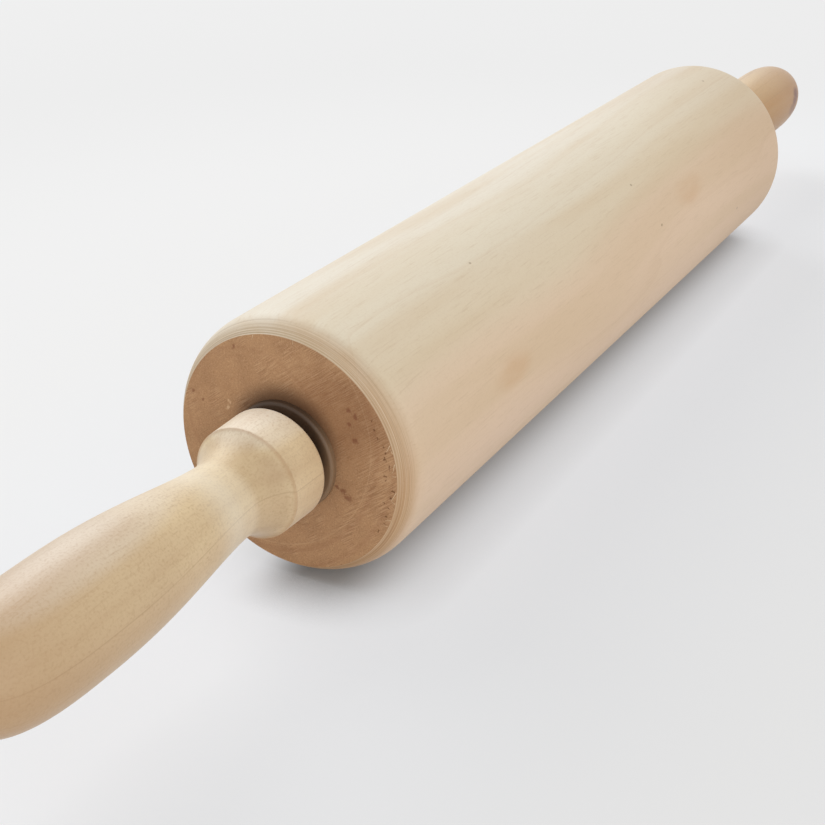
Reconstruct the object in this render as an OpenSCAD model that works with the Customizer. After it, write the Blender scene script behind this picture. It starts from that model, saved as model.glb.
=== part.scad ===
// A baker's rolling pin: a wooden barrel that revolves on two ball bearings round a steel rod,
// with a turned handle screwed on each end of the rod.
// Millimetres. The rod lies along X, Z points up, and the origin is the middle of the barrel's axis.
// The near end is at -X and the far end at +X.

/* [Barrel] */
// Diameter of the barrel
barrel_d = 70; // [60:1:90]
// Length of the barrel between its end faces
barrel_len = 305; // [250:1:400]
// Length over which each end of the barrel is rounded over
edge_len = 9; // [5:0.5:14]
// How far the rim of an end face lies inside the barrel's surface
edge_depth = 3.5; // [2:0.1:4.8]
// How steeply the rounding starts at the rim before it runs out along the barrel
edge_power = 2.4; // [1.5:0.1:3.5]
// Diameter of the tunnel that leaves room for the rod
tunnel_d = 16; // [15:0.5:20]

/* [Handles] */
// Length of a handle from its collar's face to its tail
handle_len = 107.6; // [98:0.1:130]
// Diameter of the collar where it faces the barrel
collar_face_d = 29.5; // [26:0.1:32]
// Diameter of the collar at the step line
collar_bead_d = 29; // [26.5:0.1:33]
// Length of the collar
collar_len = 12.5; // [9:0.1:14.5]
// Radius of the rounding on the collar's edge that faces the barrel
collar_round = 1.7; // [0.4:0.1:2]
// How far the wood drops in at the step line
step_drop = 0.5; // [0.3:0.1:1.5]
// Length over which the wood drops in at the step line
step_run = 0.3; // [0.1:0.1:0.5]
// How early the shoulder falls away after the step line
shoulder_fall = 0.85; // [0.7:0.05:1]
// Distance from the collar's face to the thinnest place of the neck
neck_at = 22.7; // [18:0.1:30]
// Diameter of the neck at its thinnest place
neck_d = 20.2; // [18.5:0.1:24]
// Distance from the collar's face to the thickest place of the grip
grip_at = 73.8; // [60:0.1:84]
// Diameter of the grip at its thickest place
grip_d = 29.1; // [27:0.1:34]
// How late the grip starts to swell after the neck
grip_rise = 0.75; // [0.6:0.05:1.2]
// How long the tail stays full before it turns over into the dome
tail_fullness = 3.1; // [2:0.1:4]
// How square the dome of the tail is
tail_squareness = 3.1; // [2:0.1:4]

/* [Rod] */
// Diameter of the rod
rod_d = 8; // [7:0.1:8.6]
// How far the rod reaches out of each end face of the barrel
rod_reach = 58; // [45:1:80]
// Length of the bevel on each end of the rod
rod_bevel = 1; // [0.5:0.1:1.5]
// Thickness of the spring clip behind a bearing
clip_t = 0.8; // [0.6:0.1:1.2]
// Width of the clip's ring, from its bore to its outside
clip_ring_w = 1.7; // [1.3:0.1:2]
// Depth of the groove that holds the clip
clip_groove = 0.2; // [0.15:0.05:0.4]
// Radius of an ear of the clip
clip_ear_r = 1.1; // [0.8:0.05:1.2]
// Radius of the hole in an ear
clip_eye_r = 0.5; // [0.3:0.05:0.6]
// Angle of the clip's mouth
clip_mouth = 50; // [40:1:80]
// Angle from the edge of the mouth to the middle of an ear
clip_ear_turn = 12; // [8:1:16]
// How far an ear stays outside the clip's bore
clip_ear_web = 0.15; // [0.1:0.05:0.3]

/* [Bearings] */
// Outside diameter of a bearing
bearing_od = 22; // [21:0.1:23]
// Width of a bearing
bearing_w = 7; // [6.5:0.1:8]
// Diameter of the circle that the balls' centres lie on
pitch_d = 15; // [14.7:0.1:15.3]
// Diameter of a ball
ball_d = 3.97; // [3.6:0.01:4.1]
// Number of balls in a bearing
ball_count = 7; // [6:1:8]
// Outside diameter of the inner race beside its groove
inner_land_d = 12.1; // [11.6:0.1:12.5]
// Inside diameter of the outer race beside its groove
outer_land_d = 19.2; // [18.8:0.1:19.6]
// Bevel on the corners of the races
race_bevel = 0.3; // [0.1:0.1:0.5]
// Thickness of the cage from its inside to its outside
cage_t = 1.9; // [1.4:0.1:2]
// Width of the cage along the rod
cage_w = 5; // [4.8:0.1:5.2]
// Thickness of the shield
shield_t = 0.4; // [0.3:0.1:0.5]
// Depth of the shield's seat below the face of the outer race
shield_seat = 0.6; // [0.5:0.1:0.8]
// Width of the ledge that the shield sits on
shield_ledge = 0.4; // [0.3:0.1:0.5]

/* [Bearing housings] */
// Diameter of the flange that shows between barrel and handle
flange_d = 29.2; // [28.6:0.1:34]
// Thickness of the flange
flange_t = 1.9; // [1.6:0.1:2.6]
// Radius of the rounding on the flange's rim
flange_round = 0.9; // [0.3:0.1:1.4]
// Thickness of the cup's wall
cup_wall = 2; // [1.5:0.1:2.5]
// Thickness of the cup's floor
cup_floor = 2; // [1.5:0.1:3]
// Diameter of the hole in the cup's floor
cup_hole_d = 14.4; // [14:0.1:16]
// How deep a bearing's face lies below the barrel's end face
bearing_recess = 0.5; // [0.2:0.1:1.5]

/* [Spacers and inserts] */
// Distance from the barrel's end face to the handle's collar
handle_gap = 4.5; // [4.3:0.1:7]
// Diameter of the spacer's sleeve
spacer_d = 11; // [10:0.1:11.5]
// Diameter of the spacer's washer
washer_d = 18; // [16:0.1:22]
// Thickness of the spacer's washer
washer_t = 1.4; // [1:0.1:1.6]
// Outside diameter of the brass insert over its barbs
insert_d = 12; // [11:0.1:13]
// Length of the insert
insert_len = 22; // [16:0.5:28]
// Diameter of the insert's head
insert_head_d = 15; // [14:0.1:17]
// Thickness of the insert's head
insert_head_t = 1.2; // [0.8:0.1:2]
// Number of barbs on the insert
barb_count = 5; // [3:1:7]
// Height of a barb
barb_h = 0.45; // [0.2:0.05:0.7]
// Share of a barb's length over which it rises to its edge
barb_rise = 0.3; // [0.2:0.05:0.6]

/* [Fits] */
// Radial clearance of a part that slides on the rod or into its seat
slip = 0.02; // [0.01:0.01:0.05]
// Clearance between a ball and its grooves
ball_gap = 0.03; // [0.02:0.01:0.05]
// Clearance between a ball and its pocket in the cage
pocket_gap = 0.08; // [0.05:0.01:0.12]
// Clearance between the shield and the inner race
shield_gap = 0.2; // [0.1:0.05:0.3]
// Clearance round the rod where it runs free in the handle
rod_room = 0.3; // [0.1:0.05:0.5]
// Empty length of the handle's hole past the end of the rod
rod_end_room = 3; // [1:0.5:6]

/* [Hidden] */
near = -1;
far = 1;
turn_fn = 96;
ball_fn = 48;
arc_steps = 8;
curve_steps = 18;
// How much closer the stations of a rounded edge lie towards the rim
edge_crowding = 1.5;
// Extra length that a cutter reaches past the face it opens
cut_past = 1;

barrel_r = barrel_d / 2;

rod_r = rod_d / 2;
on_rod_r = rod_r + slip;
ball_r = ball_d / 2;
pitch_r = pitch_d / 2;

// Stations along the rod, counted outwards from the barrel's end face
bearing_face = -bearing_recess;
bearing_mid = bearing_face - bearing_w / 2;
bearing_back = bearing_face - bearing_w;
cup_depth = bearing_recess + bearing_w + cup_floor;
cup_bore_r = bearing_od / 2 + slip;
cup_r = cup_bore_r + cup_wall;
groove_floor_r = rod_r - clip_groove;

function ease(t) = (1 - cos(180 * t)) / 2;

// Puts a piece that is drawn outwards along Z onto the near or the far end face of the barrel
module at_end(side) {
    translate([side * barrel_len / 2, 0, 0])
        rotate([0, side * 90, 0])
            children();
}

module ring(outer_r, inner_r, from, to) {
    translate([0, 0, from])
        difference() {
            cylinder(r = outer_r, h = to - from, $fn = turn_fn);
            translate([0, 0, -cut_past])
                cylinder(r = inner_r, h = to - from + 2 * cut_past, $fn = turn_fn);
        }
}

// The rounded edge as radius and depth below the end face. It leaves a corner at the rim and runs
// out softly into the barrel's surface
function edge_point(i) =
    let (t = pow(i / arc_steps, edge_crowding))
    [barrel_r - edge_depth * pow(1 - t, edge_power), edge_len * t];

module barrel() {
    lower = [for (i = [0 : arc_steps]) edge_point(i)];
    upper = [for (i = [arc_steps : -1 : 0]) [edge_point(i)[0], barrel_len - edge_point(i)[1]]];
    color([0.83, 0.75, 0.64])
        difference() {
            translate([-barrel_len / 2, 0, 0])
                rotate([0, 90, 0])
                    rotate_extrude($fn = turn_fn)
                        polygon(concat([[0, 0]], lower, upper, [[0, barrel_len]]));
            rotate([0, 90, 0])
                cylinder(d = tunnel_d, h = barrel_len, center = true, $fn = turn_fn);
            for (side = [near, far])
                at_end(side)
                    translate([0, 0, -cup_depth])
                        cylinder(r = cup_r + slip, h = cup_depth + cut_past, $fn = turn_fn);
        }
}

module axle_rod() {
    half = barrel_len / 2 + rod_reach;
    color([0.72, 0.73, 0.75])
        difference() {
            rotate([0, 90, 0])
                rotate_extrude($fn = turn_fn)
                    polygon([
                        [0, -half], [rod_r - rod_bevel, -half], [rod_r, -half + rod_bevel],
                        [rod_r, half - rod_bevel], [rod_r - rod_bevel, half], [0, half]
                    ]);
            for (side = [near, far])
                at_end(side)
                    ring(rod_d, groove_floor_r, bearing_back - clip_t - slip, bearing_back);
        }
}

// Profile of a handle, as [radius, distance from the collar's face]
collar_face_r = collar_face_d / 2;
bead_r = collar_bead_d / 2;
shoulder_r = bead_r - step_drop;
neck_r = neck_d / 2;
grip_r = grip_d / 2;
tail_len = handle_len - grip_at;

function collar_edge(i) =
    let (a = 90 * i / arc_steps)
    [collar_face_r - collar_round * (1 - sin(a)), collar_round * (1 - cos(a))];

// The shoulder falls away steeply at the step and runs out level at the neck
function neck_point(t) =
    [shoulder_r + (neck_r - shoulder_r) * sin(90 * pow(t, shoulder_fall)),
     collar_len + step_run + (neck_at - collar_len - step_run) * t];

function grip_point(t) =
    [neck_r + (grip_r - neck_r) * ease(pow(t, grip_rise)), neck_at + (grip_at - neck_at) * t];

// The stations crowd together towards the end of the dome, where it turns over
function tail_point(t) =
    let (u = sin(90 * t))
    [grip_r * pow(1 - pow(u, tail_fullness), 1 / tail_squareness), grip_at + tail_len * u];

handle_outline = concat(
    [[0, 0]],
    [for (i = [0 : arc_steps]) collar_edge(i)],
    [[bead_r, collar_len]],
    [for (i = [0 : curve_steps - 1]) neck_point(i / curve_steps)],
    [for (i = [0 : curve_steps - 1]) grip_point(i / curve_steps)],
    [for (i = [0 : curve_steps]) tail_point(i / curve_steps)]
);

module handle(side) {
    color([0.83, 0.73, 0.6])
        at_end(side)
            translate([0, 0, handle_gap])
                difference() {
                    rotate_extrude($fn = turn_fn)
                        polygon(handle_outline);
                    translate([0, 0, -cut_past])
                        cylinder(r = rod_r + rod_room, $fn = turn_fn,
                                 h = rod_reach - handle_gap + rod_end_room + cut_past);
                    translate([0, 0, -cut_past])
                        cylinder(r = insert_d / 2 + slip, h = insert_len + cut_past, $fn = turn_fn);
                    translate([0, 0, -cut_past])
                        cylinder(r = insert_head_d / 2 + slip, h = insert_head_t + cut_past,
                                 $fn = turn_fn);
                }
}

// The brass insert has a flat head and saw-toothed barbs that bite into the wood
module handle_insert(side) {
    body_r = insert_d / 2 - barb_h;
    barb_pitch = (insert_len - insert_head_t) / barb_count;
    barbs = [for (i = [0 : barb_count - 1], tip = [true, false])
        tip ? [insert_d / 2, insert_head_t + barb_pitch * (i + barb_rise)]
            : [body_r, insert_head_t + barb_pitch * (i + 1)]];
    color([0.8, 0.66, 0.34])
        at_end(side)
            translate([0, 0, handle_gap])
                difference() {
                    rotate_extrude($fn = turn_fn)
                        polygon(concat(
                            [[0, 0], [insert_head_d / 2, 0], [insert_head_d / 2, insert_head_t],
                             [body_r, insert_head_t]],
                            barbs,
                            [[0, insert_len]]));
                    translate([0, 0, -cut_past])
                        cylinder(r = on_rod_r, h = insert_len + 2 * cut_past, $fn = turn_fn);
                }
}

module spacer(side) {
    color([0.6, 0.6, 0.62])
        at_end(side)
            difference() {
                union() {
                    translate([0, 0, bearing_face])
                        cylinder(d = spacer_d, h = handle_gap - bearing_face, $fn = turn_fn);
                    translate([0, 0, handle_gap - washer_t])
                        cylinder(d = washer_d, h = washer_t, $fn = turn_fn);
                }
                translate([0, 0, bearing_face - cut_past])
                    cylinder(r = on_rod_r, h = handle_gap - bearing_face + 2 * cut_past,
                             $fn = turn_fn);
            }
}

// A spring clip with two eared ends, snapped into the rod's groove
module retaining_clip(side) {
    bore_r = groove_floor_r + slip;
    ring_r = bore_r + clip_ring_w;
    ear_at = bore_r + clip_ear_r + clip_ear_web;
    ear_angle = clip_mouth / 2 + clip_ear_turn;
    color([0.35, 0.35, 0.37])
        at_end(side)
            translate([0, 0, bearing_back - clip_t])
                difference() {
                    union() {
                        cylinder(r = ring_r, h = clip_t, $fn = turn_fn);
                        for (turn = [-ear_angle, ear_angle])
                            rotate([0, 0, turn])
                                translate([ear_at, 0, 0])
                                    cylinder(r = clip_ear_r, h = clip_t, $fn = turn_fn);
                    }
                    translate([0, 0, -cut_past])
                        cylinder(r = bore_r, h = clip_t + 2 * cut_past, $fn = turn_fn);
                    translate([0, 0, -cut_past])
                        linear_extrude(height = clip_t + 2 * cut_past)
                            polygon([[0, 0],
                                     for (turn = [-clip_mouth / 2, clip_mouth / 2])
                                         2 * ring_r * [cos(turn), sin(turn)]]);
                    for (turn = [-ear_angle, ear_angle])
                        rotate([0, 0, turn])
                            translate([ear_at, 0, -cut_past])
                                cylinder(r = clip_eye_r, h = clip_t + 2 * cut_past, $fn = turn_fn);
                }
}

// A nylon cup pressed into the barrel's end, with the flange that shows
module bearing_housing(side) {
    flange_r = flange_d / 2;
    rim = [for (i = [0 : arc_steps])
        let (a = 90 * i / arc_steps)
        [flange_r - flange_round * (1 - cos(a)), flange_t - flange_round * (1 - sin(a))]];
    color([0.24, 0.2, 0.18])
        at_end(side)
            difference() {
                rotate_extrude($fn = turn_fn)
                    polygon(concat(
                        [[0, -cup_depth], [cup_r, -cup_depth], [cup_r, 0], [flange_r, 0]],
                        rim,
                        [[0, flange_t]]));
                translate([0, 0, bearing_back])
                    cylinder(r = cup_bore_r, h = flange_t - bearing_back + cut_past, $fn = turn_fn);
                translate([0, 0, -cup_depth - cut_past])
                    cylinder(d = cup_hole_d, h = cup_depth, $fn = turn_fn);
            }
}

// The ring-shaped channel that the balls run in
module ball_track() {
    translate([0, 0, bearing_mid])
        rotate_extrude($fn = turn_fn)
            translate([pitch_r, 0])
                circle(r = ball_r + ball_gap, $fn = ball_fn);
}

module outer_race(side) {
    r = bearing_od / 2;
    land_r = outer_land_d / 2;
    color([0.7, 0.71, 0.73])
        at_end(side)
            difference() {
                rotate_extrude($fn = turn_fn)
                    polygon([
                        [land_r, bearing_back], [r - race_bevel, bearing_back],
                        [r, bearing_back + race_bevel], [r, bearing_face - race_bevel],
                        [r - race_bevel, bearing_face], [land_r + shield_ledge, bearing_face],
                        [land_r + shield_ledge, bearing_face - shield_seat],
                        [land_r, bearing_face - shield_seat]
                    ]);
                ball_track();
            }
}

module inner_race(side) {
    land_r = inner_land_d / 2;
    color([0.7, 0.71, 0.73])
        at_end(side)
            difference() {
                rotate_extrude($fn = turn_fn)
                    polygon([
                        [on_rod_r, bearing_back], [land_r - race_bevel, bearing_back],
                        [land_r, bearing_back + race_bevel], [land_r, bearing_face - race_bevel],
                        [land_r - race_bevel, bearing_face], [on_rod_r, bearing_face]
                    ]);
                ball_track();
            }
}

// Places its children at every ball, with X pointing outwards from the rod
module at_balls() {
    for (i = [0 : ball_count - 1])
        translate([0, 0, bearing_mid])
            rotate([0, 0, 360 * i / ball_count])
                translate([pitch_r, 0, 0])
                    children();
}

module ball_cage(side) {
    color([0.93, 0.89, 0.78])
        at_end(side)
            difference() {
                ring(pitch_r + cage_t / 2, pitch_r - cage_t / 2,
                     bearing_mid - cage_w / 2, bearing_mid + cage_w / 2);
                at_balls()
                    rotate([0, 90, 0])
                        cylinder(r = ball_r + pocket_gap, h = 2 * cage_t, center = true,
                                 $fn = turn_fn);
            }
}

module bearing_balls(side) {
    color([0.8, 0.81, 0.83])
        at_end(side)
            at_balls()
                sphere(r = ball_r, $fn = ball_fn);
}

module bearing_shield(side) {
    seat = bearing_face - shield_seat;
    color([0.66, 0.67, 0.69])
        at_end(side)
            ring(outer_land_d / 2 + shield_ledge - slip, inner_land_d / 2 + shield_gap,
                 seat, seat + shield_t);
}

barrel();
axle_rod();
handle(near);  // near_handle
handle_insert(near);  // near_handle_insert
spacer(near);  // near_spacer
retaining_clip(near);  // near_retaining_clip
bearing_housing(near);  // near_bearing_housing
outer_race(near);  // near_outer_race
inner_race(near);  // near_inner_race
ball_cage(near);  // near_ball_cage
bearing_balls(near);  // near_bearing_balls
bearing_shield(near);  // near_bearing_shield
handle(far);  // far_handle
handle_insert(far);  // far_handle_insert
spacer(far);  // far_spacer
retaining_clip(far);  // far_retaining_clip
bearing_housing(far);  // far_bearing_housing
outer_race(far);  // far_outer_race
inner_race(far);  // far_inner_race
ball_cage(far);  // far_ball_cage
bearing_balls(far);  // far_bearing_balls
bearing_shield(far);  // far_bearing_shield
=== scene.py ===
# %% [markdown]
# # A wooden roller pin on ball bearings
#
# The pin has a thick maple barrel that revolves round a steel rod, and a turned handle at each
# end of the rod. A dark nylon ring, the flange of the bearing's cup, shows between them. The
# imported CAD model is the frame: it gives every size and place, and it never moves. This lesson
# dresses it. What the eye meets, which is the barrel, the handles and the cups, is turned again
# with finer outlines, and every piece gets a finish worked out from the real material.

# %% Load the frame
import math
import random

import bmesh
import bpy
from mathutils import Matrix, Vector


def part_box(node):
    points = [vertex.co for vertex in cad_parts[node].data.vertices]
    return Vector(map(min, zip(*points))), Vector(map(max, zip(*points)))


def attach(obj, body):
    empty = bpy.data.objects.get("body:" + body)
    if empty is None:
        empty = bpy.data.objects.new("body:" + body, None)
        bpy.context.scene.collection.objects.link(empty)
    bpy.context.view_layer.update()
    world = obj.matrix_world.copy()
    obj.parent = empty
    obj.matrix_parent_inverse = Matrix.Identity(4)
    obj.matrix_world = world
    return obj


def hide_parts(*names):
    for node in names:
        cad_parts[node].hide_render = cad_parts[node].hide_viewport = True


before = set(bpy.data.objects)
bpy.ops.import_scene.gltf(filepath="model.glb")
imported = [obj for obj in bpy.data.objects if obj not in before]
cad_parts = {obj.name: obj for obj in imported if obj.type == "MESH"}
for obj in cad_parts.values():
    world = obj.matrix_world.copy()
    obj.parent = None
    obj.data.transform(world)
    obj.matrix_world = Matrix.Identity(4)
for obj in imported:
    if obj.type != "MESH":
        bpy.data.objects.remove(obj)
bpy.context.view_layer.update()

# %% [markdown]
# ## Small helpers
#
# The outlines below are in millimetres, as a turner would note them down, and Blender works in
# metres. Colours are noted as sRGB hex values, the way a colour picker shows them, and one
# function turns them to the linear values that the shaders want. One more adds a node to a
# material, with its settings and what feeds it.

# %% Units, colours and nodes
MM = 0.001
random.seed(7)
scene = bpy.context.scene


def linear(hex_code):
    """A colour such as #e0d0b0 as linear red, green, blue and alpha."""
    parts = [int(hex_code[i : i + 2], 16) / 255 for i in (1, 3, 5)]
    return [c / 12.92 if c <= 0.04045 else ((c + 0.055) / 1.055) ** 2.4 for c in parts] + [1.0]


def add(tree, kind, feeds=None, out=0, **settings):
    """Adds a node and hands back its output called out, or the node itself if out is None.

    feeds maps the node's inputs to a value or to the output of another node.
    """
    made = tree.nodes.new("ShaderNode" + kind)
    for setting, value in settings.items():
        setattr(made, setting, value)
    for place, value in (feeds or {}).items():
        if isinstance(value, bpy.types.NodeSocket):
            tree.links.new(value, made.inputs[place])
        else:
            made.inputs[place].default_value = value
    return made if out is None else made.outputs[out]


def new_material(name):
    """A material whose node tree is still empty, and that tree."""
    made = bpy.data.materials.new(name)
    made.use_nodes = True
    made.node_tree.nodes.clear()
    return made, made.node_tree


print("one inch is", round(25.4 * MM, 4), "m")

# %% [markdown]
# A pattern is painted in layers, as on a real surface. Each layer is a colour and a mask that
# says where it lies and how thickly. Masks come from a value that varies, such as a noise or a
# distance: a soft step picks out a stretch of it.

# %% Masks and layers of colour
def between(tree, value, low, high, top=1.0, bottom=0.0):
    """Turns the stretch from low to high of a value into bottom to top, softly."""
    return add(
        tree, "MapRange",
        {"Value": value, "From Min": low, "From Max": high, "To Min": bottom, "To Max": top},
        interpolation_type="SMOOTHSTEP",
    )


def both(tree, one, other):
    """A mask that holds where two masks hold. Either may be a plain share."""
    return add(tree, "Math", {0: one, 1: other}, operation="MULTIPLY")


def tint(tree, ground, colour, share):
    """Lays a colour over the ground. share is a number or a mask."""
    return add(
        tree, "Mix", {0: share, 6: ground, 7: colour}, out=2, data_type="RGBA", blend_type="MIX"
    )


def ramp(tree, value, stops):
    """The colour and the share at a value from 0 to 1.

    stops are (place, colour) or (place, colour, share).
    """
    made = add(tree, "ValToRGB", {"Fac": value}, out=None)
    made.color_ramp.interpolation = "EASE"
    points = made.color_ramp.elements
    points.remove(points[1])
    for i, (place, colour, *share) in enumerate(sorted(stops)):
        point = points[0] if i == 0 else points.new(place)
        point.position, point.color = place, linear(colour)[:3] + (share or [1.0])
    return made.outputs["Color"], made.outputs["Alpha"]


def marks(tree, here, places):
    """A mask that is 1 at each of the places, given as centre and half sizes in mm."""
    total = None
    for centre, halves in places:
        centre_m, per_half = [c * MM for c in centre], [1 / (h * MM) for h in halves]
        offset = add(tree, "VectorMath", {0: here, 1: centre_m}, operation="SUBTRACT")
        scaled = add(tree, "VectorMath", {0: offset, 1: per_half}, operation="MULTIPLY")
        reach = add(tree, "VectorMath", {0: scaled}, out="Value", operation="LENGTH")
        mask = between(tree, reach, 1.0, 0.3)
        if total is not None:
            mask = add(tree, "Math", {0: total, 1: mask}, operation="MAXIMUM")
        total = mask
    return total


def fibre_noise(tree, here, length_mm, width_mm, detail=2.0):
    """Noise from 0 to 1 whose grains have one size along the rod and another across it."""
    per_length, per_width = 1 / (length_mm * MM), 1 / (width_mm * MM)
    drawn_out = add(tree, "Mapping", {
        "Vector": here, "Scale": (per_length, per_width, per_width),
    })
    return add(tree, "TexNoise", {"Vector": drawn_out, "Scale": 1.0, "Detail": detail})


print("masks and layers ready")

# %% [markdown]
# ## The camera
#
# The photograph looks down along the pin from beyond its near handle, from about 27 degrees
# above the table. The place and the lens were worked out beforehand from the contours of the
# barrel and the collar, which are turned shapes and so have one outline only for each camera.

# %% Camera
def put(name, data):
    """Puts a mesh, a lamp or a camera into the scene."""
    piece = bpy.data.objects.new(name, data)
    scene.collection.objects.link(piece)
    return piece


camera = put("camera", bpy.data.cameras.new("camera"))
camera.data.sensor_width = 36
camera.data.lens = 61.534
camera.location = (-0.40307, -0.17695, 0.16604)
camera.rotation_euler = (math.radians(63.14), 0, math.radians(-60.585))
camera.data.clip_start = 0.01
scene.camera = camera
print("camera to middle of the pin:", round(camera.location.length, 3), "m")

# %% [markdown]
# ## Light and world
#
# The pin lies on a pale table in a white room. A large window stands to the left and a little
# behind it, and the room's walls give back an even light, a little more of it from the camera's
# right. One area lamp is the window, a second is the wall on the right, and the world is the
# rest of the room. Together they light a level surface at about the strength at which a colour
# renders as written. The camera sees the room itself as a plain pale grey.

# %% Window and wall
scene.view_settings.view_transform = "Standard"


def area_lamp(name, side_m, watts, place):
    """A square lamp that looks at the middle of the pin."""
    lamp = put(name, bpy.data.lights.new(name, "AREA"))
    lamp.data.shape = "SQUARE"
    lamp.data.size = side_m
    lamp.data.energy = watts
    lamp.location = place
    lamp.rotation_euler = (-lamp.location).to_track_quat("-Z", "Y").to_euler()
    print(name, "is", round(lamp.location.length, 2), "m away")


area_lamp("window_light", 2.2, 53, (1.0, 2.4, 2.2))
area_lamp("wall_light", 2.4, 18, (-1.2, -2.2, 1.0))

# %% The room
def seen_directly(tree):
    """1 for what the camera sees, also in a mirror or through glass, 0 for light that falls."""
    sight = add(tree, "LightPath", out=None).outputs
    seen = sight["Is Camera Ray"]
    for way in ("Is Glossy Ray", "Is Transmission Ray"):
        seen = add(tree, "Math", {0: seen, 1: sight[way]}, operation="MAXIMUM")
    return seen


ROOM_LIGHT = 0.7
world = bpy.data.worlds.new("white_room")
world.use_nodes = True
scene.world = world
room = world.node_tree
room.nodes.clear()
lit_by_room = add(room, "Background", {"Color": linear("#ffffff"), "Strength": ROOM_LIGHT})
seen_of_room = add(room, "Background", {"Color": linear("#eeeeee"), "Strength": 1.0})
which = add(room, "MixShader", {0: seen_directly(room), 1: lit_by_room, 2: seen_of_room})
add(room, "OutputWorld", {"Surface": which}, out=None)
print("the room lights with", ROOM_LIGHT)

# %% [markdown]
# ## The table
#
# The table is a matt white board. The camera sees part of it as shining by itself, which lifts
# its shadow without any more light on the pin. The small gaps under the barrel stay dark, as
# they do on a real table, and the board is a little paler on the window's side of the pin than
# on the other.

# %% Table top
def to_mesh(name, work):
    """Makes a mesh of what has been built, and clears the bench."""
    mesh = bpy.data.meshes.new(name)
    work.to_mesh(mesh)
    work.free()
    return mesh


TABLE_SIDE = 8.0
rod_height = -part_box("barrel")[0].z
sheet = bmesh.new()
bmesh.ops.create_grid(sheet, x_segments=1, y_segments=1, size=TABLE_SIDE / 2)
# A render divides the sheet along a line from corner to corner, which stays far from the pin
bmesh.ops.translate(sheet, verts=sheet.verts, vec=(1.6, -1.6, -rod_height))
table = put("table_top", to_mesh("table_top", sheet))
print("table at z =", round(-rod_height, 4), "m")

# %% Tone of the board
white_board, tree = new_material("matt_white_board")
spot = add(tree, "TexCoord", out="Object")
sideways = add(tree, "SeparateXYZ", {0: spot}, out="Y")
# Painted light and shade: from one side of the pin to the other it changes by a sixth, paler on
# the window's side, and farther off by less
side_tone = between(tree, sideways, -95 * MM, 5 * MM, 0.08, -0.09)
distance = add(tree, "VectorMath", {0: spot}, out="Value", operation="LENGTH")
closeness = between(tree, distance, 200 * MM, 450 * MM, 0.1, 1.0)
tone = add(tree, "Math", {0: side_tone, 1: closeness, 2: 1.0}, operation="MULTIPLY_ADD")
print("tone of the board:", len(tree.nodes), "nodes")

# %% Shade under the pin
# What lies within 20 mm covers the board. That darkens it little on the window's side, most just
# past the rod's line, where the window is hidden, and less where the room on the right lights it
open_sky = add(tree, "AmbientOcclusion", {"Distance": 20 * MM}, out="AO", samples=8)
covered = add(tree, "MapRange", {"Value": open_sky, "From Min": 1.0, "From Max": 0.45})
hidden = between(tree, sideways, 12 * MM, -3 * MM, 0.9, 0.1)
unhelped = between(tree, sideways, -10 * MM, -32 * MM, 0.28, 1.0)
shade = both(tree, covered, both(tree, hidden, unhelped))
lit_share = add(tree, "Math", {0: 1.0, 1: shade}, operation="SUBTRACT")
shine = both(tree, tone, lit_share)
print("with its shade:", len(tree.nodes), "nodes")

# %% The board itself
# Light that comes off the wood warms the board close to the pin, and daylight evens that out.
# The pin is long, so lengths along it count for a third
SHINING_SHARE = 0.62
squeezed = add(tree, "VectorMath", {0: spot, 1: (1 / 3, 1, 1)}, operation="MULTIPLY")
off_pin = add(tree, "VectorMath", {0: squeezed}, out="Value", operation="LENGTH")
well_off = add(tree, "MapRange", {"Value": off_pin, "From Min": 60 * MM, "From Max": 140 * MM})
daylight = tint(tree, linear("#eef0f4"), linear("#eeeeee"), well_off)
lit_board = add(tree, "BsdfDiffuse", {"Color": linear("#e4e4e4")})
shining_board = add(tree, "Emission", {"Color": daylight, "Strength": shine})
share = both(tree, seen_directly(tree), SHINING_SHARE)
board = add(tree, "MixShader", {0: share, 1: lit_board, 2: shining_board})
add(tree, "OutputMaterial", {"Surface": board}, out=None)
table.data.materials.append(white_board)
print("share of the board that shines:", SHINING_SHARE)

# %% [markdown]
# ## Finish: planed and sanded maple
#
# Maple and birch are pale woods with pores too fine to see. What the eye gets is a calm cream
# ground, wide soft streaks where the growth rings come out to the surface at a shallow angle, a
# fine line here and there where a ring ends, short fibres, and a few dark specks of bark or
# gum. So the pattern is built from the tree: every point has a distance from the pith, which is
# the middle of the trunk, and that distance, bent a little because no trunk is straight, gives
# the rings. The same rings then run over the side, the neck and the end of a piece, as in a
# real board, with no seam to hide.

# %% Distance from the pith
def from_pith(tree, pith, drift, bend_mm):
    """A point, and its distance from the trunk's middle line in metres.

    drift is how far that line leans in Y and Z for each metre along the rod, and bend_mm how
    much the rings wander.
    """
    here = add(tree, "TexCoord", out="Object")
    x = add(tree, "SeparateXYZ", {0: here}, out="X")
    middle_y, middle_z = (
        add(tree, "Math", {0: x, 1: lean, 2: start}, operation="MULTIPLY_ADD")
        for lean, start in zip(drift, pith)
    )
    middle = add(tree, "CombineXYZ", {"Y": middle_y, "Z": middle_z})
    across = add(tree, "VectorMath", {0: here, 1: middle}, operation="SUBTRACT")
    flat = add(tree, "VectorMath", {0: across, 1: (0, 1, 1)}, operation="MULTIPLY")
    straight = add(tree, "VectorMath", {0: flat}, out="Value", operation="LENGTH")
    # The bends are about 150 mm long and 25 mm wide
    bend = add(tree, "Math", {0: fibre_noise(tree, here, 150, 25, 1.0), 1: 0.5}, operation="SUBTRACT")
    wandering = {0: bend, 1: 2 * bend_mm * MM, 2: straight}
    return here, add(tree, "Math", wandering, operation="MULTIPLY_ADD")


print("growth rings ready")

# %% [markdown]
# A ring ends in a thin line of dense late wood, but only some rings show theirs, and a line comes
# and goes along the rod. Over the rings lie the fibres, 10 to 20 mm long and finer than a picture
# can show, so they are drawn half a millimetre wide, pores 2 mm long, and the nap of sanding.

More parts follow.
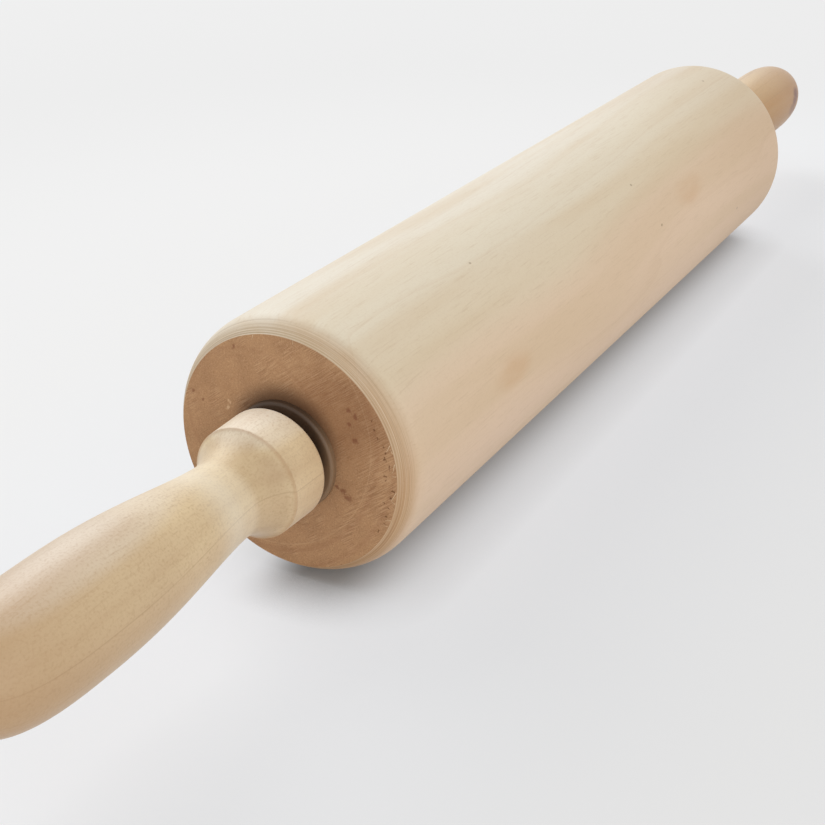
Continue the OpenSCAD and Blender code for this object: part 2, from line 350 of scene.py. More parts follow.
# %% Rings and fibres
def ring_ends(tree, look, depth, streaks):
    """A mask of the thin lines where rings end."""
    ring = look["ring_mm"]
    counting = {0: depth, 1: 1 / (ring * MM), 2: -look["first_ring_mm"] / ring}
    count = add(tree, "Math", counting, operation="MULTIPLY_ADD")
    part = add(tree, "Math", {0: count}, operation="FRACT")
    whole = add(tree, "Math", {0: count}, operation="FLOOR")
    chance = add(tree, "TexWhiteNoise", {"W": whole}, noise_dimensions="1D")
    at_end = between(tree, part, 1 - look["line_mm"] / ring, 1.0)
    least = look["line_chance"]
    shows = between(tree, chance, least, least + 0.4, look["line_share"])
    return both(tree, both(tree, at_end, shows), between(tree, streaks, 0.2, 0.5))


def grown(tree, look, here, depth, age):
    """Its colour, with painted light and shade on the handles, and the noise of fibres, pores and
    nap.
    """
    streaks = fibre_noise(tree, here, 110, 8, 1.5)
    ring_tone = add(
        tree, "TexNoise", {"W": depth, "Scale": 1 / (look["ring_mm"] * MM), "Detail": 2.0},
        noise_dimensions="1D",
    )
    fibres = fibre_noise(tree, here, 9, 0.5, 3.0)
    pores = fibre_noise(tree, here, 2.2, 0.45, 1.0)
    nap = add(tree, "TexNoise", {"Vector": here, "Scale": 1 / (0.6 * MM), "Detail": 2.0})
    ground = ramp(tree, age, look["colours"])[0]
    for colour, mask in (
        ("streak", between(tree, streaks, 0.42, 0.75, 0.35)),
        ("streak", between(tree, ring_tone, 0.45, 0.8, 0.25)),
        ("line", ring_ends(tree, look, depth, streaks)),
        ("fibre", between(tree, fibres, 0.5, 0.85, 0.3)),
        ("fibre", between(tree, pores, 0.62, 0.8, look["pore_share"])),
        ("fibre", between(tree, nap, 0.45, 0.75, look["mottle"])),
    ):
        ground = tint(tree, ground, linear(look[colour]), mask)
    return ground, fibres, pores, nap


print("rings and fibres ready")

# %% [markdown]
# Use leaves its own layers, and painted light and shade go on with them. Hands and painted shade
# darken a grip, a crease gets a dark line of dirt and painted shade, and a spill makes a stain
# that the fibres draw out unevenly. Last, where the surface turns towards the ends of the fibres,
# they soak up light, so the wood darkens, and the turning tool has left fine lines round the rod
# there, 0.2 mm apart and up to 30 mm long.

# %% Use and painted light, and fibres cut across
def use_and_painted_light(tree, look, here, ground):
    """Lays on tone and painted light along the rod, dirt and painted shade in the crease, stains,
    specks.
    """
    start, stop = look["stretch"]
    along = add(tree, "SeparateXYZ", {0: here}, out="X")
    way = add(tree, "MapRange", {"Value": along, "From Min": start * MM, "From Max": stop * MM})
    ground = tint(tree, ground, *ramp(tree, way, look["tone_and_painted_light"]))
    if look["crease"]:
        past = add(tree, "Math", {0: along, 1: start * MM}, operation="SUBTRACT")
        off_crease = add(tree, "Math", {0: past}, operation="ABSOLUTE")
        # A thin dark line at the crease: dirt, and painted shade of the crease
        dirt_and_shade = between(tree, off_crease, 0.5 * MM, 0.1 * MM, 0.3)
        ground = tint(tree, ground, linear("#a0703f"), dirt_and_shade)
    if look["stains"]:
        uneven = between(tree, fibre_noise(tree, here, 14, 4), 0.1, 0.7, look["stain_share"])
        stained = both(tree, marks(tree, here, look["stains"]), uneven)
        ground = tint(tree, ground, linear(look["stain"]), stained)
    if look["specks"]:
        specks = both(tree, marks(tree, here, look["specks"]), 0.6)
        ground = tint(tree, ground, linear("#8a6c4c"), specks)
    return ground


def cut_across(tree, look, here, age, ground):
    """Darkens the wood that faces the ends of the fibres, and draws the tool's lines there."""
    facing = add(tree, "SeparateXYZ", {0: add(tree, "TexCoord", out="Normal")}, out="X")
    open_ends = between(
        tree, add(tree, "Math", {0: facing}, operation="ABSOLUTE"), *look["end_turn"],
        look["end_share"],
    )
    ground = tint(tree, ground, ramp(tree, age, look["end"])[0], open_ends)
    if look["tool_lines"]:
        lines = fibre_noise(tree, here, 0.2, 30, 1.0)
        on_edge = between(tree, open_ends, 0.0, 0.5, look["tool_lines"])
        for colour, high in (("#efdcc0", 0.75), ("#8c6644", 0.25)):
            mask = both(tree, between(tree, lines, 0.5, high), on_edge)
            ground = tint(tree, ground, linear(colour), mask)
    return ground


print("use and cut ends ready")

# %% Sanded side grain
def sanded_maple(name, look):
    """Side grain. look holds the wood's colours, its pith and its marks."""
    made, tree = new_material(name)
    here, depth = from_pith(tree, look["pith"], look["drift"], look["bend_mm"])
    # The colour follows the age of the wood, from one side of the board to the other. The handles'
    # piths lie below the near one and above the far one, so on the handles this is also painted
    # light and shade, lighter on top and darker underneath
    youngest, oldest = (limit * MM for limit in look["ages"])
    age = add(tree, "MapRange", {"Value": depth, "From Min": youngest, "From Max": oldest})
    ground, fibres, pores, nap = grown(tree, look, here, depth, age)
    ground = cut_across(tree, look, here, age, use_and_painted_light(tree, look, here, ground))

    # The finger hardly feels the nap
    height = add(tree, "Math", {0: fibres, 1: 0.7, 2: nap}, operation="MULTIPLY_ADD")
    bump = add(tree, "Bump", {"Height": height, "Distance": look["nap_mm"] * MM, "Strength": 1.0})
    rough = add(tree, "Math", {0: pores, 1: 0.12, 2: look["roughness"]}, operation="MULTIPLY_ADD")
    wood = add(tree, "BsdfPrincipled", {
        "Base Color": ground, "Roughness": rough, "Specular IOR Level": look["gloss"],
        "Sheen Weight": look["sheen"], "Sheen Roughness": 0.4, "Normal": bump,
    })
    add(tree, "OutputMaterial", {"Surface": wood}, out=None)
    print(name, "has", len(tree.nodes), "nodes")
    return made


print("side grain ready")

# %% Look of the barrel
BARREL_LOOK = {
    "pith": (10 * MM, 5.4 * MM), "drift": (0.004, -0.006), "bend_mm": 3.0, "ages": (28, 48),
    "colours": [
        (0.0, "#e6dece"), (0.3, "#e2d7c1"), (0.55, "#dfceb2"), (0.78, "#dfc4a7"), (1.0, "#e4c9b0"),
    ],
    "streak": "#d2b893", "fibre": "#bd9f7a", "pore_share": 0.12, "mottle": 0.1,
    "ring_mm": 3.2, "first_ring_mm": 0.0,
    "line": "#c9a985", "line_mm": 0.35, "line_share": 0.15, "line_chance": 0.35,
    # The ends of the fibres show more and more between slopes of 9 and 44 degrees
    "end": [(0.0, "#b59c7a"), (0.4, "#b69068"), (1.0, "#b2804a")],
    "end_turn": (0.15, 0.7), "end_share": 0.75, "tool_lines": 0.3,
    "nap_mm": 0.008, "roughness": 0.5, "gloss": 0.35, "sheen": 0.0,
    # The billet is a little darker towards its far end
    "stretch": (40, 150), "tone_and_painted_light": [(0.0, "#a98358", 0.0), (1.0, "#a98358", 0.17)],
    "crease": False, "stain": "#c8935c", "stain_share": 0.28,
    "stains": [((49, -31, 16), (16, 5, 7)), ((-95, -34, 7), (14, 5, 6))],
    "specks": [
        ((-86.3, -16.0, 31.1), (0.7, 0.5, 0.5)), ((13.0, -23.1, 26.3), (0.8, 0.6, 0.6)),
        ((18.7, -32.6, 12.7), (1.0, 0.6, 0.6)), ((95.9, -34.8, -3.8), (0.9, 0.6, 0.6)),
        ((125.8, -7.6, 34.2), (0.9, 0.7, 0.7)),
    ],
}
barrel_side = sanded_maple("maple_sanded_side_grain", BARREL_LOOK)

# %% [markdown]
# ## Finish: sawn and sanded end grain
#
# On the barrel's end faces the fibres are cut across. The open ends swallow light, so the same
# wood is a warm brown there. A belt sander has left straight scratches, all one way, and the
# growth rings show as arcs. Specks of red gum and a torn border near the rim finish it. The
# scratches are drawn on their own two axes, one along and one across the belt.

# %% Marks on the end faces
# One growth ring shows as a pale line, this far from the pith
PALE_RING_MM = 33.7
GUM = [
    ((-152.5, -18.5, 16.5), (1, 1.1, 0.8)), ((-152.5, -20.2, 15.3), (1, 1.0, 1.1)),
    ((-152.5, -18.4, 12.8), (1, 1.0, 0.8)), ((-152.5, -20.0, 8.9), (1, 1.3, 0.9)),
    ((-152.5, -14.6, -5.2), (1, 1.0, 0.9)), ((-152.5, -16.3, -6.1), (1, 1.5, 1.1)),
    ((-152.5, -17.7, -7.4), (1, 1.9, 1.4)), ((-152.5, 14.3, 26.0), (1, 0.9, 0.9)),
    ((-152.5, 27.7, 10.9), (1, 1.0, 0.9)), ((-152.5, 24.7, 9.1), (1, 0.7, 0.7)),
    ((152.5, -12.0, 18.0), (1, 1.2, 0.9)), ((152.5, 20.0, -9.0), (1, 1.0, 1.1)),
]
NICK = [((-152.5, 17.2, 8.9), (1, 0.6, 0.9)), ((-152.5, 16.5, 10.3), (1, 0.5, 0.8))]
# Painted shade: the face is darker above the bearing and to its right, as the pin lies
PAINTED_SHADE_UPPER_RIGHT = [((-152.5, -15, 14), (9, 19, 17))]
# The belt left the wood on this side of the rim
BELT_EXIT = [((-152.5, -27, 3), (9, 10, 26)), ((-152.5, -14, 22), (9, 16, 10))]
# Pits lie just inside the rim, on the side where the tool came out of the wood
PITS = []
for angle in (148, 152, 157, 161, 165, 168, 172, 177, 179, 184, 188, 192, 194, 199, 203, 209):
    turn, from_rod = math.radians(angle), random.uniform(28.2, 31.0)
    PITS.append((
        (-152.5, from_rod * math.cos(turn), from_rod * math.sin(turn)),
        (1, random.uniform(0.3, 0.6), random.uniform(0.3, 0.8)),
    ))
print(len(GUM), "specks of gum and", len(PITS), "pits")

# %% Scratches and painted shade
def belt_scratches(tree, here, angle):
    """Noise along the belt's way, 0.25 mm wide and 5 mm long, and a mask of where it is strong."""
    turn = math.radians(angle)
    along, across = (
        add(tree, "VectorMath", {0: here, 1: way}, out="Value", operation="DOT_PRODUCT")
        for way in ((0, math.cos(turn), math.sin(turn)), (0, -math.sin(turn), math.cos(turn)))
    )
    belt = add(tree, "CombineXYZ", {
        "X": both(tree, along, 1 / (5 * MM)), "Y": both(tree, across, 1 / (0.25 * MM)),
    })
    scratches = add(
        tree, "TexNoise", {"Vector": belt, "Scale": 1.0, "Detail": 1.0}, noise_dimensions="2D"
    )
    patches = add(tree, "TexNoise", {"Vector": here, "Scale": 1 / (7 * MM), "Detail": 1.0})
    strong = {0: between(tree, patches, 0.45, 0.65), 1: marks(tree, here, BELT_EXIT)}
    return scratches, add(tree, "Math", strong, operation="MAXIMUM")


def painted_shade_above_rod(tree, here, full_to, none_from, share):
    """Painted shade round a point 4 mm above the rod, full up to one distance, gone at another."""
    below = add(tree, "VectorMath", {0: here, 1: (0, 0, 4 * MM)}, operation="SUBTRACT")
    flat = add(tree, "VectorMath", {0: below, 1: (0, 1, 1)}, operation="MULTIPLY")
    away = add(tree, "VectorMath", {0: flat}, out="Value", operation="LENGTH")
    return between(tree, away, none_from * MM, full_to * MM, share)


def shaken(tree, here):
    """The same points moved about by up to 1 mm, which gives specks and pits ragged edges."""
    shake = add(
        tree, "TexNoise", {"Vector": here, "Scale": 1 / (1.2 * MM), "Detail": 2.0}, out=1
    )
    either_way = add(tree, "VectorMath", {0: shake, 1: (0.5, 0.5, 0.5)}, operation="SUBTRACT")
    return add(
        tree, "VectorMath", {0: either_way, 1: (2.2 * MM,) * 3, 2: here}, operation="MULTIPLY_ADD"
    )


print("scratches and oil ready")

# %% End grain of the barrel
def sanded_end_grain(name, scratch_angle):
    """End grain in layers. Above the bearing a dark crescent is painted shade of the handle."""
    made, tree = new_material(name)
    here, depth = from_pith(tree, BARREL_LOOK["pith"], BARREL_LOOK["drift"], 0.6)
    # Clouds 9 mm across, the grain of the fibres' ends, 0.35 mm, and the rings as faint arcs
    clouds = add(tree, "TexNoise", {"Vector": here, "Scale": 1 / (9 * MM), "Detail": 3.0})
    grit = add(tree, "TexNoise", {"Vector": here, "Scale": 1 / (0.35 * MM), "Detail": 3.0})
    arcs = add(
        tree, "TexNoise", {"W": depth, "Scale": 1 / (2.6 * MM), "Detail": 2.0},
        noise_dimensions="1D",
    )
    past_ring = add(tree, "Math", {0: depth, 1: PALE_RING_MM * MM}, operation="SUBTRACT")
    off_ring = add(tree, "Math", {0: past_ring}, operation="ABSOLUTE")
    scratches, strength = belt_scratches(tree, here, scratch_angle)
    ragged = shaken(tree, here)
    ground = linear("#bc926b")
    for colour, mask in (
        ("#a57d5a", between(tree, clouds, 0.4, 0.7, 0.5)),
        ("#d6b08a", between(tree, grit, 0.52, 0.75, 0.5)),
        ("#855a3c", between(tree, grit, 0.48, 0.25, 0.4)),
        ("#a17252", between(tree, arcs, 0.5, 0.8, 0.25)),
        ("#dcb892", between(tree, off_ring, 0.3 * MM, 0.05 * MM, 0.22)),
        ("#d9b48e", both(tree, strength, between(tree, scratches, 0.5, 0.7, 0.36))),
        ("#80563a", both(tree, strength, between(tree, scratches, 0.5, 0.3, 0.3))),
        ("#8a5c3c", both(tree, marks(tree, here, PAINTED_SHADE_UPPER_RIGHT), 0.45)),
        # Painted shade of the handle and the flange, darkest just above the bearing
        ("#4a2d19", painted_shade_above_rod(tree, here, 10.8, 17.0, 0.75)),
        ("#7c4630", both(tree, marks(tree, ragged, GUM), 0.6)),
        ("#6a4328", both(tree, marks(tree, ragged, PITS), 0.8)),
        ("#d6b38e", marks(tree, ragged, NICK)),
    ):
        ground = tint(tree, ground, linear(colour), mask)
    height = add(tree, "Math", {0: scratches, 1: 1.0, 2: grit}, operation="MULTIPLY_ADD")
    bump = add(tree, "Bump", {"Height": height, "Distance": 0.03 * MM, "Strength": 1.0})
    wood = add(tree, "BsdfPrincipled", {
        "Base Color": ground, "Roughness": 0.7, "Specular IOR Level": 0.25, "Normal": bump,
    })
    add(tree, "OutputMaterial", {"Surface": wood}, out=None)
    print(name, "has", len(tree.nodes), "nodes")
    return made


barrel_end = sanded_end_grain("maple_sanded_end_grain", 142.5)

# %% [markdown]
# ## Turning an outline
#
# Barrel, handles and cups are lathe work, so all are made in the lathe's way: an outline of a few
# points, each with its place along the rod and its radius, is spun once round the rod. The spin
# merges its first and last copy, and points on the axis merge into a pole. Edges that are meant
# to be crisp are marked from their angle afterwards.

# %% The lathe
def turned(name, outline, sides, crisp_degrees, closed):
    """Spins an outline of (place along X, radius) points, both in mm, round the X axis."""
    work = bmesh.new()
    points = [work.verts.new((x * MM, 0, radius * MM)) for x, radius in outline]
    lines = [work.edges.new(pair) for pair in zip(points, points[1:])]
    if closed:
        lines.append(work.edges.new((points[-1], points[0])))
    bmesh.ops.spin(
        work, geom=points + lines, cent=(0, 0, 0), axis=(1, 0, 0),
        angle=2 * math.pi, steps=sides, use_merge=True,
    )
    bmesh.ops.remove_doubles(work, verts=work.verts, dist=1e-7)
    bmesh.ops.recalc_face_normals(work, faces=work.faces)
    for face in work.faces:
        face.smooth = True
    open_edges = sum(not edge.is_manifold for edge in work.edges)
    mesh = to_mesh(name, work)
    mesh.set_sharp_from_angle(angle=math.radians(crisp_degrees))
    print(name, len(mesh.polygons), "faces,", open_edges, "open edges")
    return put(name, mesh)


def quarter(steps):
    """A quarter circle of radius 1, as how far each point has come in and how far it is short."""
    turns = [math.pi / 2 * i / steps for i in range(steps + 1)]
    return [(1 - math.cos(turn), 1 - math.sin(turn)) for turn in turns]


print("lathe ready")

# %% [markdown]
# ## The barrel
#
# The barrel is turned from one billet. The rounding of its ends leaves a corner at the end face,
# bends most there and runs out slowly along the side. The tool has left fine ridges on it, which
# nobody sanded out: they are real grooves in the outline, a few hundredths of a millimetre deep.
# The tunnel and the two seats of the cups are part of the same outline, so the barrel is one
# closed solid.

# %% Barrel outline
BARREL_R = rod_height / MM
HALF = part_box("barrel")[1].x / MM
EDGE_LEN, EDGE_DEPTH, EDGE_POWER = 9.0, 3.5, 2.4
SEAT_R, SEAT_DEPTH, TUNNEL_R = 13.04, 9.5, 8.0
EDGE_POINTS = 100
# Depth below the end face at which each tool mark lies, its own depth and its width, in mm
TOOL_MARKS = [(0.3, 0.07, 0.13), (0.75, 0.06, 0.13), (1.25, 0.04, 0.13), (2.1, 0.02, 0.16)]


def rounded_end():
    """The rounding from the end face's rim to the side, as (depth below the face, radius)."""
    points = []
    for i in range(EDGE_POINTS + 1):
        deep = EDGE_LEN * (i / EDGE_POINTS) ** 1.4
        radius = BARREL_R - EDGE_DEPTH * (1 - deep / EDGE_LEN) ** EDGE_POWER
        for at, cut, width in TOOL_MARKS:
            radius -= cut * math.exp(-(((deep - at) / width) ** 2))
        points.append((deep, radius))
    return points


near_half = [(-HALF + SEAT_DEPTH, TUNNEL_R), (-HALF + SEAT_DEPTH, SEAT_R), (-HALF, SEAT_R)]
near_half += [(-HALF + deep, radius) for deep, radius in rounded_end()]
far_half = [(-x, radius) for x, radius in reversed(near_half)]
barrel = turned("maple_barrel", near_half + far_half, 192, 22, closed=True)

# %% Barrel finish
barrel.data.materials.append(barrel_side)
barrel.data.materials.append(barrel_end)
for polygon in barrel.data.polygons:
    if abs(polygon.normal.x) > 0.999 and abs(polygon.center.x) > (HALF - 0.1) * MM:
        polygon.material_index = 1
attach(barrel, "barrel")
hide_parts("barrel")
print("end grain faces:", sum(p.material_index == 1 for p in barrel.data.polygons))

# %% [markdown]
# ## The handles
#
# A handle is turned too: a collar with a soft edge towards the barrel, a step line, a neck, a
# grip that swells, and a full rounded tail. The outline is the one in the part's source, with
# more points. It starts at the bottom of the hole for the rod.

# %% Handle outline
HANDLE_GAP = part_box("far_handle")[0].x / MM - HALF
HANDLE_LEN = (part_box("far_handle")[1].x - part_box("far_handle")[0].x) / MM
COLLAR_FACE_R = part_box("far_handle")[1].z / MM
BEAD_R, COLLAR_LEN, COLLAR_ROUND, STEP_DROP, STEP_RUN = 14.5, 12.5, 1.7, 0.5, 0.3
SHOULDER_FALL, NECK_AT, NECK_R = 0.85, 22.7, 10.1
GRIP_AT, GRIP_R, GRIP_RISE = 73.8, 14.55, 0.75
TAIL_FULLNESS, TAIL_SQUARENESS = 3.1, 3.1
HOLE_R, HOLE_DEPTH, BRASS_R, BRASS_DEPTH, HEAD_R, HEAD_DEPTH = 4.3, 56.5, 6.02, 22.0, 7.52, 1.2


def shoulder(t):
    """From the crease at t = 0 down to the neck at t = 1."""
    start, start_r = COLLAR_LEN + STEP_RUN, BEAD_R - STEP_DROP
    fallen = math.sin(math.pi / 2 * t**SHOULDER_FALL)
    return start + (NECK_AT - start) * t, start_r + (NECK_R - start_r) * fallen


def grip(t):
    """From the neck at t = 0 to the thickest place at t = 1."""
    swollen = (1 - math.cos(math.pi * t**GRIP_RISE)) / 2
    return NECK_AT + (GRIP_AT - NECK_AT) * t, NECK_R + (GRIP_R - NECK_R) * swollen


def tail(t):
    """From the thickest place at t = 0 to the tip at t = 1, closer together near the tip."""
    u = math.sin(math.pi / 2 * t)
    radius = GRIP_R * (1 - u**TAIL_FULLNESS) ** (1 / TAIL_SQUARENESS) if t < 1 else 0
    return GRIP_AT + (HANDLE_LEN - GRIP_AT) * u, radius


handle_outline = [
    (HOLE_DEPTH, 0), (HOLE_DEPTH, HOLE_R), (BRASS_DEPTH, HOLE_R), (BRASS_DEPTH, BRASS_R),
    (HEAD_DEPTH, BRASS_R), (HEAD_DEPTH, HEAD_R), (0, HEAD_R),
]
handle_outline += [
    (COLLAR_ROUND * inward, COLLAR_FACE_R - COLLAR_ROUND * short) for inward, short in quarter(12)
]
handle_outline.append((COLLAR_LEN, BEAD_R))
handle_outline += [shoulder(i / 28) for i in range(28)]
handle_outline += [grip(i / 40) for i in range(40)]
handle_outline += [tail(i / 40) for i in range(41)]
print("a handle's outline has", len(handle_outline), "points")

# %% [markdown]
# Both handles come from the same outline but from other wood, so each has its own pith: the near
# one was sawn so that the rings lie almost level. The piths lie so that both handles come out
# lighter on top and darker underneath, which is painted light and shade. Past the crease a dark
# band is painted shade of the crease, the neck is kept pale as a painted highlight, and the grip
# darkens towards the tail, partly from hands and partly as painted shade.

# %% Look of the handles
CREASE_AT = HALF + HANDLE_GAP + COLLAR_LEN
WEAR_AND_LIGHT_LEN = 110
HANDLE_LOOK = {
    "drift": (0.0, 0.0), "bend_mm": 0.5, "ages": (38, 76),
    "streak": "#bf9d72", "fibre": "#aa8759", "pore_share": 0.08, "mottle": 0.3,
    "ring_mm": 7.0, "first_ring_mm": -13.5,
    "line": "#9a784e", "line_mm": 0.4, "line_share": 0.45, "line_chance": 0.3,
    "end": [(0.0, "#b98f60")], "end_turn": (0.6, 1.0), "end_share": 0.2, "tool_lines": 0.0,
    "nap_mm": 0.055, "roughness": 0.45, "gloss": 0.9, "sheen": 0.25, "crease": True,
    "specks": [((-217.5, -11.5, 8.9), (0.5, 0.4, 0.4)), ((-203.2, -12.4, 6.4), (0.5, 0.4, 0.4))],
}
NEAR_LOOK = {
    **HANDLE_LOOK, "pith": (-5 * MM, -61 * MM),
    # From the underside up: the dark low stops are painted shade and the near-white top stops a
    # painted highlight, over the wood's own tone
    "colours": [
        (0.05, "#a07848"), (0.24, "#bf9c6c"), (0.38, "#e0c59c"), (0.6, "#dfc59d"),
        (0.76, "#e4cda2"), (0.88, "#e9d3a8"), (0.95, "#efe2c8"), (1.0, "#f6eedd"),
    ],
    "stretch": (-CREASE_AT, -CREASE_AT - WEAR_AND_LIGHT_LEN),
    # Past the crease a dark band is painted shade of the crease, the pale stops at the neck are a
    # painted highlight, and the grip darkens towards the tail, partly wear, partly painted shade
    "tone_and_painted_light": [
        (0.0, "#f8dcb8", 0.2), (0.003, "#a07848", 0.2), (0.02, "#a07848", 0.36),
        (0.07, "#a07848", 0.28), (0.11, "#f4ead8", 0.22), (0.16, "#f6efe0", 0.34),
        (0.27, "#c09766", 0.22), (0.45, "#ab8052", 0.4), (1.0, "#ab8052", 0.8),
    ],
    # A darker patch on the upper side of the shoulder, just past the crease
    "stain": "#a07848", "stain_share": 0.3, "stains": [((-173, -9, 9), (10, 12, 10))],
}
FAR_LOOK = {
    **HANDLE_LOOK, "pith": (30 * MM, 56 * MM),
    # From the top down: the pale low stops are a painted highlight and the dark high stops painted
    # shade, over the wood's own tone
    "colours": [
        (0.1, "#f0e2cc"), (0.34, "#e2caa4"), (0.5, "#cba878"), (0.75, "#b88a52"), (1.0, "#a87a42"),
    ],
    "stretch": (CREASE_AT, CREASE_AT + WEAR_AND_LIGHT_LEN),
    # Past the crease a dark band is painted shade of the crease and the pale stop at the neck a
    # painted highlight; towards the tail the handle darkens
    "tone_and_painted_light": [
        (0.0, "#a07848", 0.0), (0.04, "#a07848", 0.2), (0.12, "#f0e2cc", 0.2),
        (0.3, "#b08048", 0.2), (1.0, "#9a6530", 0.7),
    ],
    # Three marks that overlap make one short dark patch on the side of the tail
    "stain": "#6a2c0a", "stain_share": 1.0,
    "stains": [
        ((246.5, -13.3, 3.5), (7, 3, 4)), ((243.5, -13.9, 0.8), (6, 2.5, 4)),
        ((241, -14.2, -2), (8, 3, 4)),
    ],
}
print("wear is painted over", WEAR_AND_LIGHT_LEN, "mm of each handle")

# %% Both handles
handle_wood = {
    "near": sanded_maple("maple_near_handle", NEAR_LOOK),
    "far": sanded_maple("maple_far_handle", FAR_LOOK),
}
for end, side in (("near", -1), ("far", 1)):
    outline = [(side * (HALF + HANDLE_GAP + along), radius) for along, radius in handle_outline]
    handle = turned(f"turned_handle_{end}", outline, 160, 30, closed=False)
    handle.data.materials.append(handle_wood[end])
    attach(handle, "axle")
    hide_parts(f"{end}_handle")

# %% [markdown]
# ## Finish: moulded nylon
#
# The bearing's cup is glass-filled nylon: a dark grey brown, with a soft sheen and a very fine
# orange-peel from the mould. The flange is rounded over, so it catches a lighter band of window.
# The top of the flange, under the collar, is darkened with painted shade, as is the wood above it.

# %% Nylon
def moulded_nylon(name, colour, worn, painted_shade_colour, roughness):
    """Moulded plastic: flow marks 3 mm across, a skin with a 0.25 mm grain, and any painted shade."""
    made, tree = new_material(name)
    here = add(tree, "TexCoord", out="Object")
    flow = add(tree, "TexNoise", {"Vector": here, "Scale": 1 / (3 * MM), "Detail": 2.0})
    skin = add(tree, "TexNoise", {"Vector": here, "Scale": 1 / (0.25 * MM), "Detail": 1.0})
    ground = tint(tree, linear(colour), linear(worn), between(tree, flow, 0.4, 0.75, 0.6))
    if painted_shade_colour:
        # Painted shade under the collar, on the top of the flange
        ground = tint(tree, ground, linear(painted_shade_colour), painted_shade_above_rod(tree, here, 10.5, 15.0, 1.0))
    bump = add(tree, "Bump", {"Height": skin, "Distance": 0.012 * MM, "Strength": 1.0})
    shell = add(tree, "BsdfPrincipled", {
        "Base Color": ground, "Roughness": roughness, "Normal": bump,
    })
    add(tree, "OutputMaterial", {"Surface": shell}, out=None)
    print(name, "has", len(tree.nodes), "nodes")
    return made


# The last colour is painted shade for the top of the flange
dark_nylon = moulded_nylon("glass_filled_nylon_moulded", "#886c50", "#947858", "#483423", 0.55)
natural_nylon = moulded_nylon("natural_nylon_moulded", "#eae1c8", "#dccfae", None, 0.42)

# %% Bearing cups
FLANGE_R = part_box("near_bearing_housing")[1].z / MM
FLANGE_T, FLANGE_ROUND, CUP_R, CUP_DEPTH, CUP_BEVEL = 1.9, 0.9, 13.02, 9.5, 0.4
BEARING_R, BEARING_BACK, FLOOR_HOLE_R, INNER_ROUND = 11.02, 7.5, 7.2, 0.35
cup_outline = [
    (-CUP_DEPTH, FLOOR_HOLE_R), (-CUP_DEPTH, CUP_R - CUP_BEVEL), (-CUP_DEPTH + CUP_BEVEL, CUP_R),
    (0, CUP_R), (0, FLANGE_R),
]
cup_outline += [
    (FLANGE_T - FLANGE_ROUND * short, FLANGE_R - FLANGE_ROUND * inward)
    for inward, short in quarter(12)
]
cup_outline += [
    (FLANGE_T - INNER_ROUND * inward, BEARING_R + INNER_ROUND * short)
    for inward, short in quarter(6)
]
cup_outline += [(-BEARING_BACK, BEARING_R), (-BEARING_BACK, FLOOR_HOLE_R)]
for end, side in (("near", -1), ("far", 1)):
    outline = [(side * (HALF + out), radius) for out, radius in cup_outline]
    cup = turned(f"bearing_cup_{end}", outline, 128, 25, closed=True)
    cup.data.materials.append(dark_nylon)
    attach(cup, "barrel")
    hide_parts(f"{end}_bearing_housing")

# %% [markdown]
# ## Torn fibres on the rim
#
# Where the tool left the end face it tore a few fibres loose, and they lie flat on the face as
# pale slivers up to 3 mm long. Each one starts as a thin cone, is cut across four times and bent,
# and then laid down at the rim. They turn with the barrel.

# %% One sliver
def sliver(length, width, curl):
    """A mesh of one bent splinter, which starts at the origin and runs along Y."""
    one = bmesh.new()
    bmesh.ops.create_cone(
        one, cap_ends=True, segments=5, radius1=width / 2, radius2=width / 8, depth=length
    )
    long_edges = [e for e in one.edges if abs(e.verts[0].co.z - e.verts[1].co.z) > length / 2]
    bmesh.ops.subdivide_edges(one, edges=long_edges, cuts=4)
    for vert in one.verts:
        share = vert.co.z / length + 0.5
        vert.co.y += curl * math.sin(2.4 * share) * share
        vert.co.x *= 0.6
    laid_down = Matrix.Rotation(-math.pi / 2, 3, "X")
    bmesh.ops.rotate(one, verts=one.verts, cent=(0, 0, 0), matrix=laid_down)
    bmesh.ops.translate(one, verts=one.verts, vec=(0, length / 2, 0))
    return to_mesh("sliver", one)


# Side, angle round the rim, how far the sliver turns from the rim's tangent, length and width
TORN = [
    (-1, 161, 40, 2.2, 0.22), (-1, 165, -70, 1.3, 0.16), (-1, 170, 58, 2.6, 0.26),
    (-1, 176, 20, 1.2, 0.15), (-1, 184, 66, 3.0, 0.24), (-1, 190, -35, 1.4, 0.15),
    (-1, 199, 50, 1.7, 0.18), (-1, 203, 25, 1.3, 0.16), (-1, 96, 30, 1.1, 0.13),
    (-1, 75, -40, 1.4, 0.13), (1, 20, 45, 2.1, 0.2), (1, 28, -50, 1.2, 0.16),
    (1, 196, 60, 2.5, 0.22), (1, 205, 20, 1.2, 0.15),
]
print(len(TORN), "fibres are torn")

# %% All slivers
# They lie this far inside the rim, and stand this far off the end face, in mm
INSIDE_RIM, OFF_FACE = 0.15, 0.03
on_rim = (BARREL_R - EDGE_DEPTH - INSIDE_RIM) * MM
slivers = bmesh.new()
for side, angle, turn, length, width in TORN:
    curl = random.uniform(-0.5, 0.5) * MM
    one = sliver(length * MM, width * MM, curl)
    start, heading = math.radians(angle), math.radians(angle + 180 - turn)
    at = (side * (HALF + OFF_FACE) * MM, on_rim * math.cos(start), on_rim * math.sin(start))
    one.transform(Matrix.Translation(at) @ Matrix.Rotation(heading, 4, "X"))
    slivers.from_mesh(one)
    bpy.data.meshes.remove(one)
bmesh.ops.recalc_face_normals(slivers, faces=slivers.faces)
torn_fibres = put("torn_fibres", to_mesh("torn_fibres", slivers))
torn_fibres.data.materials.append(sanded_maple("maple_torn_fibre", {
    **BARREL_LOOK, "colours": [(0.0, "#ead2b2"), (1.0, "#e2c49e")], "end_share": 0.0,
    "tool_lines": 0.0, "stains": [], "specks": [],
}))
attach(torn_fibres, "barrel")
print("slivers:", len(torn_fibres.data.polygons), "faces")

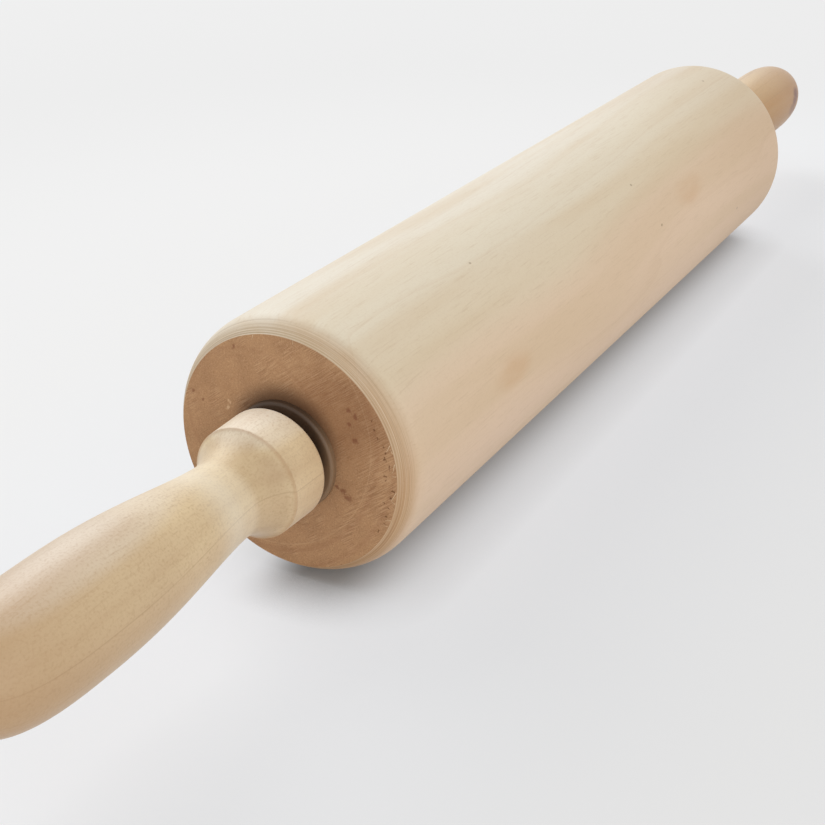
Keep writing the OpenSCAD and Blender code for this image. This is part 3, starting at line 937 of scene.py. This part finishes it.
# %% [markdown]
# ## Finish: the metals
#
# Little of the metal shows, but a bearing that is looked at from the side has to be right as
# well. Drawn bar has fine lines along its length, ground rings have fine lines round them,
# spring steel is phosphated to a dark grey, and the brass insert is turned. A metal's colour is
# its reflection, so the pattern goes mostly into the roughness and a very shallow bump.

# %% Metals
def worked_metal(name, colour, dull, roughness, spacing_mm, along_rod):
    """Metal with tool lines. spacing_mm is how far apart they are, along or round the rod."""
    made, tree = new_material(name)
    here = add(tree, "TexCoord", out="Object")
    grain_mm = (20, spacing_mm) if along_rod else (spacing_mm, 20)
    lines = fibre_noise(tree, here, *grain_mm)
    patches = add(tree, "TexNoise", {"Vector": here, "Scale": 1 / (4 * MM), "Detail": 2.0})
    ground = tint(tree, linear(colour), linear(dull), between(tree, patches, 0.4, 0.7, 0.5))
    rough = add(tree, "Math", {0: lines, 1: 0.12, 2: roughness - 0.06}, operation="MULTIPLY_ADD")
    bump = add(tree, "Bump", {"Height": lines, "Distance": 0.004 * MM, "Strength": 1.0})
    metal = add(tree, "BsdfPrincipled", {
        "Base Color": ground, "Metallic": 1.0, "Roughness": rough, "Normal": bump,
    })
    add(tree, "OutputMaterial", {"Surface": metal}, out=None)
    return made


drawn_steel = worked_metal("stainless_bar_drawn", "#c4c5c7", "#b3b4b6", 0.3, 0.15, True)
ground_steel = worked_metal("bearing_steel_ground", "#bdbec1", "#a9abae", 0.24, 0.12, False)
polished_steel = worked_metal("ball_steel_polished", "#d2d3d6", "#c8c9cc", 0.1, 0.4, False)
dark_spring = worked_metal("spring_steel_phosphated", "#56565a", "#47474a", 0.42, 0.2, False)
turned_brass = worked_metal("brass_turned", "#d2ac62", "#b8924a", 0.28, 0.2, False)
print("five metals ready")

# %% Finish of the inner pieces
FINISH_OF = {
    "axle_rod": drawn_steel, "spacer": drawn_steel, "handle_insert": turned_brass,
    "retaining_clip": dark_spring, "outer_race": ground_steel, "inner_race": ground_steel,
    "bearing_shield": ground_steel, "ball_cage": natural_nylon, "bearing_balls": polished_steel,
}
for node_name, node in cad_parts.items():
    kind = node_name.removeprefix("near_").removeprefix("far_")
    if kind in FINISH_OF:
        node.data.materials.clear()
        node.data.materials.append(FINISH_OF[kind])
        print(node_name, "gets", FINISH_OF[kind].name)
